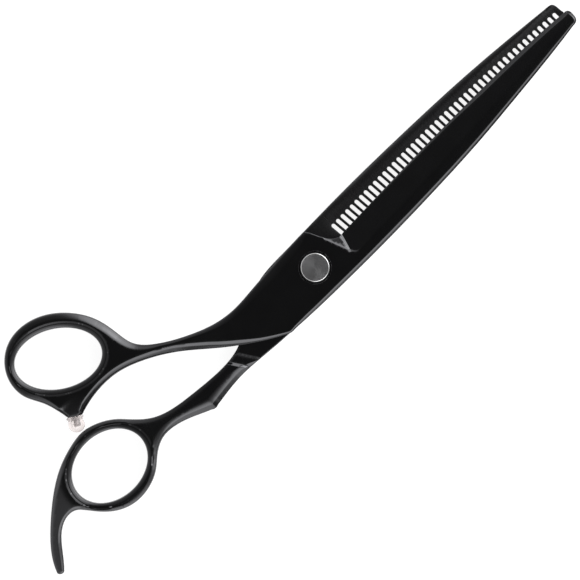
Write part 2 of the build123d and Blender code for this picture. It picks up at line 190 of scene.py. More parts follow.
class Plan:
    """The outlines of one face, with the distance from any point to the nearest of them."""

    def __init__(self, outlines, keys, hole_keys):
        self.loops = [points for points, _ in outlines]
        self.start = np.cumsum([0] + [len(p) for p in self.loops])
        self.points = np.vstack(self.loops)
        self.next = np.concatenate([self.start[i] + np.roll(np.arange(len(p)), -1)
                                    for i, p in enumerate(self.loops)])
        self.before = np.empty(len(self.points), int)
        self.before[self.next] = np.arange(len(self.points))
        self.sharp = np.concatenate([marks for _, marks in outlines])
        self.tree = KDTree(len(self.points))
        for i, (x, y) in enumerate(self.points):
            self.tree.insert((x, y, 0), i)
        self.tree.balance()
        self.inward, self.miter = self.frames()
        self.set_keys(keys, hole_keys)

    def frames(self):
        inward, miter = [], []
        for p in self.loops:
            step = np.roll(p, -1, axis=0) - p
            unit = step / np.hypot(*step.T)[:, None]
            left = np.stack([-unit[:, 1], unit[:, 0]], axis=1)
            both = left + np.roll(left, 1, axis=0)
            size = np.hypot(*both.T)
            inward.append(both / size[:, None])
            miter.append(np.minimum(2 / size, MAX_MITER))
        return np.vstack(inward), np.concatenate(miter)

    def set_keys(self, keys, hole_keys):
        """Edge profile at every outline point, from the nearest keys along its loop."""
        table = np.zeros((len(self.points), 6))
        for i, p in enumerate(self.loops):
            rows = slice(self.start[i], self.start[i + 1])
            wanted = keys if i == 0 else hole_keys[min(i, len(hole_keys)) - 1]
            step = np.hypot(*(np.roll(p, -1, axis=0) - p).T)
            run = np.concatenate([[0], np.cumsum(step)])
            at = []
            for key in wanted:
                j = int(np.argmin(np.hypot(p[:, 0] - key[0], p[:, 1] - key[1])))
                at.append((run[j], key[2:]))
            at.sort(key=lambda item: item[0])
            where = np.array([a[0] for a in at])
            value = np.array([a[1] for a in at], float)
            where = np.concatenate([where[-1:] - run[-1], where, where[:1] + run[-1]])
            value = np.vstack([value[-1:], value, value[:1]])
            for column in range(6):
                table[rows, column] = np.interp(run[:-1], where, value[:, column])
        table[:, 4:] = np.tan(np.radians(table[:, 4:]))
        self.key = table

    def nearest(self, p):
        """Distance to the outlines, positive inside the material, and where they are nearest.

        The place is given as an outline point and the share of the way to the next one.
        """
        near = np.array([[hit[1] for hit in self.tree.find_n((x, y, 0), 3)] for x, y in p])
        segments = np.concatenate([near, self.before[near]], axis=1)
        a = self.points[segments]
        d = self.points[self.next[segments]] - a
        rel = p[:, None, :] - a
        t = np.clip((rel * d).sum(2) / (d * d).sum(2), 0, 1)
        gap = rel - t[:, :, None] * d
        size = (gap * gap).sum(2)
        best = size.argmin(1)
        rows = np.arange(len(p))
        place, share, gap = segments[rows, best], t[rows, best], gap[rows, best]
        left = np.stack([-d[rows, best, 1], d[rows, best, 0]], axis=1)
        corner = np.where(share < 0.5, place, self.next[place])
        facing = np.where(((share > 1e-6) & (share < 1 - 1e-6))[:, None], left,
                          self.inward[corner])
        side = np.where((gap * facing).sum(1) < 0, -1.0, 1.0)
        return np.sqrt(size[rows, best]) * side, place, share

    def from_hole(self, p):
        """Distance from each point to the finger hole, the first of the holes."""
        a = self.loops[1]
        d = np.roll(a, -1, axis=0) - a
        best = np.empty(len(p))
        for start in range(0, len(p), CHUNK):
            rel = p[start:start + CHUNK, None, :] - a
            t = np.clip((rel * d).sum(2) / (d * d).sum(1), 0, 1)
            gap = rel - t[:, :, None] * d
            best[start:start + CHUNK] = np.hypot(*np.moveaxis(gap, 2, 0)).min(1)
        return best

    def round_hole(self, offset):
        """Closed line at a distance around the finger hole."""
        rows = slice(self.start[1], self.start[2])
        line = self.points[rows] + self.inward[rows] * offset
        return np.vstack([line, line[:1]])

    def key_at(self, place, share):
        return mix(self.key[place], self.key[self.next[place]], share[:, None])

    def drop(self, distance, place, share):
        """How far the edge profile lowers the face at a distance from its outline."""
        a, da, rounded, b, slope, last_slope = self.key_at(place, share).T
        out = 1 - np.clip(distance / np.maximum(a, 1e-6), 0, 1)
        within = 1 - np.clip((distance - a) / np.maximum(b, 1e-6), 0, 1)
        outer = mix(out, 1 - np.sqrt(np.clip(1 - out ** 2, 0, 1)), rounded)
        return da * outer + b * within * (last_slope + (slope - last_slope) * within / 2)

    def ring_offsets(self):
        """Distances from the outline at which rings of points carry the profile's shape."""
        a, _, rounded, b, _, _ = self.key.T
        w = a + b
        facets = np.stack([0 * a, 0 * a + ARRIS, a * 0.35, a * 0.7, a - ARRIS, a + ARRIS,
                           a + b / 3, a + b * 2 / 3, w - ARRIS, w + ARRIS])
        curve = np.vstack([a * ROUND_STEPS[:, None], a + b * INNER_STEPS[:, None]])
        offsets = mix(facets, curve, rounded)
        return np.maximum.accumulate(offsets, axis=0)


def relief(plan, level, grid, features=()):
    """Points and triangles of one face, with the height at each point.

    level(p, plan) gives the face's height away from its edges; features are lines along which
    that height changes sharply, which the triangles then follow.
    """
    total = len(plan.points)
    rows = np.arange(total)
    points, edges = [plan.points], [np.stack([rows, plan.next], axis=1)]
    offsets = plan.ring_offsets()
    last = rows.copy()
    for k in range(1, len(offsets)):
        grown = offsets[k] - offsets[k - 1] > LEAST_STEP
        p = plan.points + plan.inward * (offsets[k] * plan.miter)[:, None]
        distance, _, _ = plan.nearest(p)
        good = grown & (distance > offsets[k] - SLACK)
        index = np.full(len(p), -1)
        index[good] = total + np.arange(good.sum())
        points.append(p[good])
        total += good.sum()
        linked = good & good[plan.next]
        edges.append(np.stack([index[linked], index[plan.next][linked]], axis=1))
        spokes = good & plan.sharp & (last >= 0)
        edges.append(np.stack([last[spokes], index[spokes]], axis=1))
        last = np.where(good, index, last)
        last[~good & grown] = -1
    for line in features:
        points.append(line)
        chain = total + np.arange(len(line))
        edges.append(np.stack([chain[:-1], chain[1:]], axis=1))
        total += len(line)
    low, high = plan.points.min(0), plan.points.max(0)
    row = grid * math.sqrt(3) / 2
    cells = [(x + (j % 2) * grid / 2, y)
             for j, y in enumerate(np.arange(low[1], high[1], row))
             for x in np.arange(low[0], high[0], grid)]
    cells = np.array(cells)
    distance, place, share = plan.nearest(cells)
    width = plan.key_at(place, share)[:, [0, 3]].sum(1)
    roomy = distance > width + CLEAR_OF_RING * grid
    for line in features:
        gap = np.hypot(cells[:, 0][:, None] - line[:, 0], cells[:, 1][:, None] - line[:, 1])
        roomy &= gap.min(1) > CLEAR_OF_LINE * grid
    points.append(cells[roomy])

    flat = np.vstack(points)
    made = delaunay_2d_cdt([Vector(p) for p in flat], np.vstack(edges).tolist(), [], 0, MERGE)
    xy = np.array([v[:] for v in made[0]])
    triangles = np.array([f for f in made[2] if len(f) == 3])
    centre = xy[triangles].mean(1)
    triangles = triangles[plan.nearest(centre)[0] > 0]
    distance, place, share = plan.nearest(xy)
    z = level(xy, plan) - plan.drop(np.clip(distance, 0, None), place, share)
    home = np.full(len(plan.points), -1)
    for new, old in enumerate(made[3]):
        for i in old:
            if i < len(plan.points):
                home[i] = new
    return xy, z, triangles, home


def slab(name, top, bottom, top_level, bottom_level, grid, top_features=(), bottom_features=()):
    """Closed mesh between two faces on the same outlines."""
    xy, z, up, home = relief(top, top_level, grid, top_features)
    xy2, z2, down, home2 = relief(bottom, lambda p, plan: -bottom_level(p, plan), grid,
                                  bottom_features)
    z2 = -z2
    cover = np.stack([home, home[top.next], home2[top.next] + len(xy), home2 + len(xy)], axis=1)
    points = np.vstack([np.column_stack([xy, z]), np.column_stack([xy2, z2])])
    down = down[:, ::-1] + len(xy)
    faces = up.tolist() + down.tolist() + cover[:, ::-1].tolist()
    return mesh_object(name, points, faces)


def mesh_object(name, points, faces):
    mesh = bpy.data.meshes.new(name)
    mesh.from_pydata((np.asarray(points) * MM).tolist(), [], faces)
    mesh.update()
    work = bmesh.new()
    work.from_mesh(mesh)
    loose = [v for v in work.verts if not v.link_faces]
    bmesh.ops.delete(work, geom=loose, context="VERTS")
    bmesh.ops.recalc_face_normals(work, faces=work.faces)
    for face in work.faces:
        face.smooth = True
    work.to_mesh(mesh)
    work.free()
    obj = bpy.data.objects.new(name, mesh)
    bpy.context.collection.objects.link(obj)
    return obj


EDGE_GAP = 0.02  # feature lines stop this far from an outline


def with_cuts(outlines, lines):
    """The outlines with a point added wherever one of the lines, (start, end), crosses them."""
    result = []
    for points, marks in outlines:
        for start, end in lines:
            along = end - start
            normal = np.array([-along[1], along[0]])
            side = (points - start) @ normal
            after = np.roll(side, -1)
            share = side / np.where(side == after, 1, side - after)
            cross = points + (np.roll(points, -1, axis=0) - points) * share[:, None]
            place = (cross - start) @ along / (along @ along)
            hits = np.flatnonzero((side * after < 0) & (place > 0) & (place < 1)
                                  & (share > 0.1) & (share < 0.9))
            points = np.insert(points, hits + 1, cross[hits], axis=0)
            marks = np.insert(marks, hits + 1, False)
        result.append((points, marks))
    return result


def line_within(plan, start, end, step=0.4):
    """Points along a straight feature line, as far as it lies in the material."""
    count = int(np.hypot(*(end - start)) / step)
    line = start + (end - start) * np.linspace(0, 1, count)[:, None]
    distance, _, _ = plan.nearest(line)
    return line[distance > EDGE_GAP]


def circle(radius, count=72):
    angle = np.linspace(0, 2 * math.pi, count + 1)
    return np.column_stack([radius * np.cos(angle), radius * np.sin(angle)])


# ---- plain half: levels of its two faces -----------------

SLOPE_Y = (-26.0, -38.0)  # outer faces slope from plate level to handle level
BORE_R, BORE_DEPTH = 4.0, 1.0  # counterbore under the bolt head
BORE_BREAK = 0.12  # broken edge of the counterbore
BAND_IN, BAND_OUT, BAND_STEP = 1.25, 1.65, 0.22  # comfort band round a finger hole
PLUNGE = [(-3.6, 6.5), (-1.6, 7.3), (0.0, 7.9), (1.5, 8.5), (3.0, 9.05), (3.8, 9.5),
          (4.35, 10.2), (4.6, 11.2), (4.68, 12.6), (4.7, 14.5)]


def smooth_line(points, step=0.25):
    """Dense points of a smooth curve through a few."""
    p = np.asarray(points, float)
    ends = np.vstack([2 * p[0] - p[1], p, 2 * p[-1] - p[-2]])
    out = []
    for a, b, c, d in zip(ends, ends[1:], ends[2:], ends[3:]):
        count = max(1, round(float(np.hypot(*(c - b))) / step))
        for t in np.arange(count) / count:
            out.append(0.5 * (2 * b + (c - a) * t + (2 * a - 5 * b + 4 * c - d) * t**2
                              + (3 * b - a - 3 * c + d) * t**3))
    return np.vstack(out + [p[-1]])


PLUNGE_LINE = smooth_line(PLUNGE)


def beyond_plunge(p):
    """Signed distance past the plunge line, into the ground face."""
    a, b = PLUNGE_LINE[:-1], PLUNGE_LINE[1:]
    d = b - a
    rel = p[:, None, :] - a
    t = np.clip((rel * d).sum(2) / (d * d).sum(1), 0, 1)
    gap = rel - t[:, :, None] * d
    dist = (gap * gap).sum(2)
    j = dist.argmin(1)
    rows = np.arange(len(p))
    cross = d[j, 0] * rel[rows, j, 1] - d[j, 1] * rel[rows, j, 0]
    return np.sqrt(dist[rows, j]) * np.sign(cross)


def beside_plunge(away, plan):
    """Lines at a distance past the plunge line, as far as they lie in the material."""
    step = np.gradient(PLUNGE_LINE, axis=0)
    left = np.stack([-step[:, 1], step[:, 0]], axis=1) / np.hypot(*step.T)[:, None]
    line = PLUNGE_LINE + left * away
    clear = (beyond_plunge(line) > away - SAME) & (plan.nearest(line)[0] > 0.05)
    runs = np.split(np.arange(len(line)), np.flatnonzero(np.diff(clear.astype(int))) + 1)
    return [line[run] for run in runs if clear[run[0]] and len(run) > 1]


BLADE_FROM, BLADE_RUN = 14, 75  # the blades' tapers start at this Y and end near the tip
SPINE_FALL = 2.1  # how far the plain blade's spine comes down by the tip


def along_blade(y):
    return np.clip((y - BLADE_FROM) / BLADE_RUN, 0, 1.05)


def spine_level(y):
    return FRONT_TOP - SPINE_FALL * along_blade(y) ** 1.3


# Cutting bevel: it starts past the heel and widens towards the tip.
BEVEL_WIDTHS = [20, 30, 50, 60, 75, 88], [0.03, 0.28, 0.5, 0.88, 0.95, 0.9]  # at Y, width
BEVEL_SLOPE = 0.8
CROWN_HEEL, CROWN_SHIFT = 4.75, 3.4  # X of the ground face's crown, and its shift
EDGE_HEEL, EDGE_BULGE = -1.3, 0.8  # X of the cutting edge, and its bulge
EDGE_FROM, EDGE_RUN = 10, 85  # Y of the edge's start, length
GROUND_DEPTHS = [10, 30, 60, 90], [0.9, 0.85, 0.66, 0.35]  # at Y, depth at the edge


def ground_depth(x, y):
    """How far the plain blade's ground face lies below its spine, from its crown to its edge."""
    crown = CROWN_HEEL - CROWN_SHIFT * along_blade(y) ** 1.5
    edge_x = EDGE_HEEL - EDGE_BULGE * np.sin(np.pi * np.clip((y - EDGE_FROM) / EDGE_RUN, 0, 1))
    deep = np.interp(y, *GROUND_DEPTHS)
    return deep * np.clip((crown - x) / (crown - edge_x), 0, 1.2)


# The heel falls from the crease at the plunge line in a flat facet, then in a steeper band that
# starts at a straight line, down to the ground face.
HEEL_BAND = ((-1.1, 9.95), (3.1, 9.05))
HEEL_FROM = 5.5  # Y from which the blade's face is shaped
CREASE_WIDTH, CREASE_DROP = 0.12, 0.07
CREASE_ROUND = 0.04
FACET_SLOPES, FACET_TURN = (0.17, 0.55), (2.4, 1.2)  # at its two ends; X of the turn, its run
BAND_SLOPE, BAND_FADE = 0.56, (2.9, 0.8)  # slope; X where it fades out, its run


def past_heel_band(p):
    (x0, y0), (x1, y1) = HEEL_BAND
    length = math.hypot(x1 - x0, y1 - y0)
    return ((x1 - x0) * (p[:, 1] - y0) - (y1 - y0) * (p[:, 0] - x0)) / length


def heel_fall(p):
    past = beyond_plunge(p)
    past = np.clip((past + np.sqrt(past ** 2 + CREASE_ROUND ** 2)) / 2 - SAME, 0, None)
    facet = mix(*FACET_SLOPES, smoothstep((p[:, 0] - FACET_TURN[0]) / FACET_TURN[1]))
    crease = CREASE_DROP * np.clip(past / CREASE_WIDTH, 0, 1)
    band = BAND_SLOPE * np.clip(past_heel_band(p), 0, None)
    fade = smoothstep((p[:, 0] - BAND_FADE[0]) / BAND_FADE[1])
    return crease + facet * past + band * (1 - fade)


STOP_FROM, STOP_DIRECTION = (-19.6, -64.0), math.radians(-38)  # line of the fall
STOP_SLOPE, STOP_BEND = 0.04, 0.012
STOP_TOP, STOP_LEFT = (-61, 3), (-20.5, 1.5)  # Y and X where the fall fades in, with the run


def stop_arm_fall(p):
    """The stop arm's front face curves down towards its end."""
    along = ((p[:, 0] - STOP_FROM[0]) * math.cos(STOP_DIRECTION)
             + (p[:, 1] - STOP_FROM[1]) * math.sin(STOP_DIRECTION))
    near = smoothstep((STOP_TOP[0] - p[:, 1]) / STOP_TOP[1])
    near *= smoothstep((p[:, 0] - STOP_LEFT[0]) / STOP_LEFT[1])
    along = np.clip(along, 0, None)
    return near * (STOP_SLOPE * along + STOP_BEND * along ** 2)


def plain_top(p, plan):
    x, y = p.T
    start, end = SLOPE_Y
    z = FRONT_TOP - (FRONT_TOP - HANDLE_Z1) * smoothstep((start - y) / (start - end))
    fall = np.where(x > PLUNGE[0][0], np.minimum(heel_fall(p), ground_depth(x, y)), 0)
    fall = np.where(y > PLUNGE_LINE[-1][1], ground_depth(x, y), fall)
    z = np.where(y > HEEL_FROM, spine_level(y) - fall, z)
    r = np.hypot(x, y)
    bore = np.where(r < BORE_R, BORE_DEPTH, np.clip(BORE_R + BORE_BREAK - r, 0, None))
    return z - bore - comfort_band(p, plan) - stop_arm_fall(p)


def comfort_band(p, plan):
    """The lower band that runs round a finger hole inside the ring's crest."""
    return BAND_STEP * (1 - smoothstep((plan.from_hole(p) - BAND_IN) / (BAND_OUT - BAND_IN)))


PLAIN_RAMP_AT, TOOTHED_RAMP_AT = (-5.0, -24.7), (3.5, -27.05)
RAMP_LEAN = math.radians(33)
PLAIN_RAMP_RUN = 2.5
HOLLOW_RUN = 73  # the hollows in the inner faces narrow over this length
PLAIN_HOLLOW, TOOTHED_HOLLOW = 0.18, 0.3  # depth


def past_ramp(p, at, lean):
    """Distance from a ramp's foot towards the finger ring."""
    return (p[:, 0] - at[0]) * math.sin(lean) - (p[:, 1] - at[1]) * math.cos(lean)


def hollow_share(x, y, middles, halves):
    """Share of a hollow's depth, given X of its middle and half its width, at heel and tip."""
    along = np.clip((y - BLADE_FROM) / HOLLOW_RUN, 0, 1)
    return np.clip(1 - ((x - mix(*middles, along)) / mix(*halves, along)) ** 2, 0, 1)


def plain_bottom(p, plan):
    x, y = p.T
    past = past_ramp(p, PLAIN_RAMP_AT, -RAMP_LEAN)
    z = FRONT_Z - (FRONT_Z - HANDLE_Z0) * np.clip(past / PLAIN_RAMP_RUN, 0, 1) ** 1.5
    hollow = PLAIN_HOLLOW * hollow_share(x, y, (3.1, 0.7), (3.8, 1.6))
    hollow *= smoothstep((y - BLADE_FROM) / 2)
    return z + hollow + comfort_band(p, plan)


def cutting_keys():
    """Edge keys of the plain blade's cutting bevel."""
    keys = []
    for x, y in ((-1.3, 11), (-1.5, 20), (-1.75, 30), (-1.95, 40), (-2.1, 50), (-2.1, 60),
                 (-1.85, 75), (-1.1, 88)):
        width = float(np.interp(y, *BEVEL_WIDTHS))
        keys.append((x, y, width, BEVEL_SLOPE * width, 0, 0.03, 20, 20))
    return keys


PLAIN_TOP_KEYS = [
    # spine, from the tip down
    (2.7, 89.0, 0.25, 0.22, 0, 0.22, 26, 23), (3.9, 80, 0.4, 0.34, 0, 0.38, 27, 25),
    (6.0, 60, 0.46, 0.39, 0, 0.4, 27, 25), (7.5, 36, 0.5, 0.42, 0, 0.42, 27, 25),
    (7.9, 18, 0.54, 0.45, 0, 0.44, 27, 25), (7.8, 0, 0.52, 0.44, 0, 0.42, 27, 25),
    (7.5, -10, 0.42, 0.35, 0, 0.38, 27, 25),
    # shank, lower right side, to the stop arm
    (7.1, -15.8, 0.2, 0.2, 0, 0.25, 27, 24), (3.3, -22.4, 0.3, 0.28, 0, 0.5, 27, 24),
    (0.3, -26.6, 0.5, 0.48, 0, 0.8, 28, 24), (-4.5, -33, 0.9, 0.85, 0, 0.85, 27, 22),
    (-9.4, -39, 1.1, 1.0, 0, 0.65, 24, 20), (-13.7, -46, 0.9, 1.0, 0.3, 0.6, 24, 18),
    (-16.7, -56, 1.0, 1.2, 0.4, 0.4, 26, 16), (-16.0, -64.5, 1.15, 1.25, 0.2, 0.32, 27, 20),
    (-15.4, -66.7, 0.9, 1.0, 0.2, 0.2, 25, 18), (-15.7, -67.8, 0.12, 0.35, 0, 0.03, 20, 20),
    (-16.6, -69.2, 0.12, 0.35, 0, 0.03, 20, 20), (-17.3, -69.9, 0.12, 0.2, 0, 0.55, 33, 28),
    # ring
    (-20.3, -69.9, 0.12, 0.25, 0, 0.7, 33, 26), (-28.3, -73.6, 0.4, 1.3, 1, 1.5, 15, 8),
    (-41.0, -61.5, 0.4, 1.3, 1, 1.5, 14, 9), (-37.5, -54, 0.4, 1.3, 1, 1.5, 15, 9),
    # shoulder
    (-33.0, -50.0, 0.4, 1.2, 1, 1.4, 24, 12), (-28.5, -47.6, 0.4, 0.9, 1, 1.5, 26, 24),
    (-22.5, -46.5, 0.4, 0.8, 1, 1.4, 26, 25), (-18.0, -45.0, 0.3, 0.6, 1, 1.2, 25, 22),
    (-13.4, -40.4, 0.25, 0.35, 1, 0.5, 24, 20), (-9.8, -33.6, 0.2, 0.3, 0.5, 0.6, 23, 16),
    # upper left side of the shank and the pivot boss
    (-6.8, -21.5, 0.15, 0.18, 0.5, 1.6, 15, 5), (-7.6, -7, 0.15, 0.18, 0.5, 2.6, 12, 6),
    (-8.2, 2.0, 0.15, 0.18, 0.5, 1.8, 12, 6), (-8.2, 4.2, 0.12, 0.14, 0.5, 0.8, 12, 6),
    (-6.8, 5.1, 0.09, 0.1, 0, 0.12, 16, 14), (-5.0, 6.1, 0.09, 0.1, 0, 0.1, 20, 18),
    (-1.6, 8.9, 0.03, 0.05, 0, 0.03, 20, 20),
] + cutting_keys()

PLAIN_BOTTOM_KEYS = [
    (2.5, 89.0, 0.05, 0.06, 0, 0.04, 15, 15), (7.75, 18, 0.08, 0.12, 0, 0.06, 18, 18),
    (6.9, -15.8, 0.08, 0.12, 0, 0.06, 18, 18), (-1.5, -28, 0.3, 0.4, 1, 0.3, 30, 10),
    (-9.9, -38.7, 0.6, 0.9, 1, 0.6, 40, 10), (-16.7, -56, 0.6, 1.0, 1, 0.8, 40, 10),
    (-15.4, -66.9, 0.3, 0.3, 1, 0.3, 25, 10), (-17.0, -69.7, 0.3, 0.3, 1, 0.3, 25, 10),
    (-28.3, -73.6, 0.5, 1.1, 1, 1.1, 45, 10), (-41.0, -61.5, 0.5, 1.1, 1, 1.1, 45, 10),
    (-28.5, -47.6, 0.5, 0.9, 1, 1.1, 40, 10), (-13.4, -40.4, 0.4, 0.6, 1, 0.6, 35, 10),
    (-8.2, -29, 0.3, 0.3, 1, 0.2, 25, 10), (-6.8, -21.5, 0.08, 0.12, 0, 0.06, 18, 18),
    (-8.1, 4.0, 0.08, 0.12, 0, 0.06, 18, 18), (-1.2, 9.6, 0.02, 0.02, 0, 0.02, 20, 20),
    (-1.1, 88, 0.02, 0.02, 0, 0.02, 20, 20),
]
FINGER_KEYS = [(0, 0, 0.35, 1.2, 1, 0.85, 17, 12)]
PIVOT_KEYS = [(0, 0, 0.04, 0.04, 0, 0.02, 20, 20)]


def refined_outlines(levels):
    return [refined(loop) for loop in section_loops(levels)]


def band_lines(plan):
    return [plan.round_hole(BAND_IN), plan.round_hole(BAND_OUT)]


def bore_lines(radius):
    """Circles on both sides of a counterbore's wall and of its broken edge's outer end."""
    return [circle(r) for r in (radius - 0.006, radius, radius + BORE_BREAK,
                                radius + BORE_BREAK + 0.02)]


def plain_half():
    above_stud = box_mm("bumper_stud")[1][2] + 0.1
    outlines = refined_outlines({"plain_blade": FRONT_Z + 0.3, "plain_handle": above_stud})
    top = Plan(outlines, PLAIN_TOP_KEYS, [FINGER_KEYS, PIVOT_KEYS])
    bottom = Plan(outlines, PLAIN_BOTTOM_KEYS, [FINGER_KEYS, PIVOT_KEYS])
    plunge = [line for away in (0.0, 0.06, CREASE_WIDTH) for line in beside_plunge(away, top)]
    start, end = np.array(HEEL_BAND)
    for away in np.arange(0, 0.9, 0.12):
        run = line_within(top, start + (0, away), end + (0, away), step=0.2)
        plunge.append(run[beyond_plunge(run) > 0.3])
    return slab("plain_half_steel", top, bottom, plain_top, plain_bottom, GRID,
                band_lines(top) + bore_lines(BORE_R) + plunge, band_lines(bottom))


# ---- toothed half: levels of its two faces ---------------

RECESS_R, RECESS_DEPTH = 6.0, 0.3  # seat of the ride washer
NUT_BORE_R, NUT_BORE_DEPTH = 5.0, 1.7
TOOTHED_RAMP = ((-2.0, -30.62), (8.0, -24.13))  # a line along the foot of the ramp
RAMP_PROFILE = [(0, 0), (0.12, 0.02), (0.7, 0.17), (1.1, 0.24), (2.7, 0.34), (2.95, 0.42),
                (3.45, 0.84), (3.57, 0.87)]  # distance past the foot, rise
CLIMB_RUN = 34  # the shank's climb past the ramp
# The toothed blade's back is ground down, more at the teeth than at the spine.
TOOTH_CUT, SPINE_CUT = (1.5, 1.9), 1.2  # depths, at heel and tip
CUT_FROM, CUT_RUN = 9, 80  # Y of the heel, length
CUT_WIDTH = 7.5  # from the spine to the teeth
GRIND_FROM, GRIND_LEAN, GRIND_RUN = 6.5, 0.5, 2.2  # the curved start beside the pivot
REST_FROM, REST_SLOPE = 2.75, 0.26  # finger rest: distance from the hole, slope
REST_Y, REST_RUN, REST_ROUND = -78, 3, 0.3  # where that slope fades in, its rounding
SECTION_Z = 3.0  # height of the outlines' section


def toothed_top(p, plan):
    x, y = p.T
    past = past_ramp(p, TOOTHED_RAMP_AT, RAMP_LEAN)
    away, rise = np.array(RAMP_PROFILE).T
    z = BACK_TOP + np.interp(past, away, rise)
    climb = HANDLE_Z1 - BACK_TOP - rise[-1]
    z += climb * smoothstep((past - away[-1]) / CLIMB_RUN)
    hollow = TOOTHED_HOLLOW * hollow_share(x, y, (-3.6, -2.6), (4.5, 2.1))
    hollow *= smoothstep((y - 8) / 5)
    recess = np.where(np.hypot(x, y) < RECESS_R, RECESS_DEPTH, 0)
    off_ring = plan.from_hole(p) - REST_FROM
    beyond = (off_ring + np.sqrt(off_ring ** 2 + REST_ROUND)) / 2
    beyond *= smoothstep((REST_Y - y) / REST_RUN)
    return z - hollow - recess - comfort_band(p, plan) - REST_SLOPE * beyond


def toothed_bottom(p, plan):
    x, y = p.T
    start, end = SLOPE_Y
    z = BACK_Z + (HANDLE_Z0 - BACK_Z) * smoothstep((start - y) / (start - end))
    along = np.clip((y - CUT_FROM) / CUT_RUN, 0, 1)
    tooth = mix(*TOOTH_CUT, along)
    spine = SPINE_CUT * along
    across = np.clip((x + CUT_WIDTH) / CUT_WIDTH, 0, 1) ** 1.4
    start_y = GRIND_FROM + GRIND_LEAN * np.clip(x + 4, -4, 4)
    grind = 1 - (1 - np.clip((y - start_y) / GRIND_RUN, 0, 1)) ** 2
    z = z + (spine + (tooth - spine) * across) * grind
    r = np.hypot(x, y)
    bore = np.where(r < NUT_BORE_R, NUT_BORE_DEPTH, np.clip(NUT_BORE_R + BORE_BREAK - r, 0, None))
    return z + bore + comfort_band(p, plan)


TOOTHED_TOP_KEYS = [
    # tip, teeth and heel
    (-4.6, 87.8, 0.05, 0.08, 0, 0.05, 20, 20), (-1.3, 88.7, 0.05, 0.06, 0, 0.03, 20, 20),
    (0.2, 80, 0.03, 0.03, 0, 0.03, 20, 20), (0.3, 10.5, 0.03, 0.03, 0, 0.03, 20, 20),
    (6.0, 6.1, 0.06, 0.06, 0, 0.06, 20, 20), (5.95, -26.4, 0.1, 0.1, 0, 0.1, 22, 22),
    # shank, right side
    (5.9, -28.2, 0.3, 0.3, 0, 0.55, 27, 20), (5.85, -30.9, 1.0, 0.84, 0, 1.0, 27, 12),
    (5.9, -33, 1.1, 0.93, 0, 1.3, 27, 10), (6.1, -36, 1.15, 0.97, 0, 1.4, 27, 10),
    (6.85, -41.4, 1.25, 1.05, 0, 1.7, 26, 8), (6.9, -42.6, 1.25, 1.05, 0, 1.7, 26, 8),
    (4.6, -47.4, 1.1, 0.93, 0, 1.3, 25, 10), (3.05, -52.5, 0.95, 0.85, 0.2, 1.0, 22, 12),
    (2.9, -57.0, 0.6, 1.0, 0.8, 1.3, 18, 10),
    # ring
    (5.5, -61.8, 0.4, 1.2, 1, 1.6, 26, 12), (9.6, -72, 0.4, 1.3, 1, 1.5, 15, 9),
    (6.0, -79.7, 0.4, 1.3, 1, 1.4, 16, 9), (1.6, -83.3, 0.3, 0.8, 1, 0.9, 18, 12),
    # finger rest
    (-0.05, -87, 0.25, 0.3, 0.3, 0.45, 27, 22), (3.5, -93.4, 0.25, 0.3, 0, 0.6, 27, 22),
    (8.0, -97.4, 0.2, 0.25, 0, 0.45, 26, 20), (8.95, -98.75, 0.2, 0.3, 1, 0.2, 20, 10),
    (4.5, -96.8, 0.2, 0.3, 1, 0.3, 20, 12), (-5.3, -86.4, 0.3, 0.5, 1, 0.5, 22, 14),
    (-9.2, -80.2, 0.4, 1.2, 1, 1.1, 24, 10), (-11.9, -70, 0.4, 1.3, 1, 1.4, 15, 9),
    (-8.3, -62, 0.4, 1.3, 1, 1.2, 15, 9), (-3.6, -57.6, 0.35, 0.8, 1, 0.8, 17, 10),
    # shank, left side
    (-0.2, -50.5, 0.25, 0.35, 1, 0.9, 15, 6), (1.5, -33, 0.25, 0.35, 1, 0.8, 15, 6),
    (0.7, -29, 0.15, 0.2, 0.5, 0.7, 15, 6), (-7.6, -10, 0.06, 0.06, 0, 0.08, 20, 15),
    (-8.1, 4.3, 0.1, 0.1, 0, 0.3, 16, 8), (-8.3, 22, 0.12, 0.14, 0, 2.2, 19, 3),
    (-5.95, 75, 0.1, 0.12, 0, 1.2, 17, 3),
]
TOOTHED_BOTTOM_KEYS = [
    (-4.6, 87.8, 0.1, 0.12, 0, 0.08, 20, 20), (-1.3, 88.7, 0.05, 0.06, 0, 0.03, 18, 18),
    (0.2, 80, 0.03, 0.03, 0, 0.03, 18, 18), (0.3, 10.5, 0.03, 0.03, 0, 0.03, 18, 18),
    (6.0, 6.1, 0.1, 0.1, 0, 0.1, 22, 22), (7.1, -5, 0.2, 0.25, 0, 0.2, 22, 22),
    (5.9, -28, 0.3, 0.35, 0.3, 0.3, 25, 15), (6.1, -36, 0.5, 0.9, 1, 0.9, 35, 10),
    (4.6, -47.4, 0.5, 1.0, 1, 1.0, 40, 10), (2.9, -57.0, 0.5, 1.1, 1, 1.0, 42, 10),
    (9.6, -72, 0.5, 1.1, 1, 1.1, 45, 10), (1.6, -83.3, 0.5, 0.8, 1, 0.8, 40, 10),
    (3.5, -93.4, 0.5, 0.8, 1, 0.5, 35, 10), (8.95, -98.75, 0.3, 0.4, 1, 0.3, 25, 10),
    (-5.3, -86.4, 0.5, 0.8, 1, 0.5, 35, 10), (-11.9, -70, 0.5, 1.1, 1, 1.1, 45, 10),
    (-3.6, -57.6, 0.5, 0.8, 1, 0.6, 40, 10), (1.5, -35, 0.5, 0.7, 1, 0.5, 35, 10),
    (0.0, -26.8, 0.25, 0.3, 0, 0.2, 22, 22), (-7.6, -10, 0.2, 0.25, 0, 0.2, 22, 22),
    (-8.3, 22, 0.2, 0.3, 0, 0.2, 25, 25), (-5.95, 75, 0.2, 0.25, 0, 0.15, 22, 22),
]


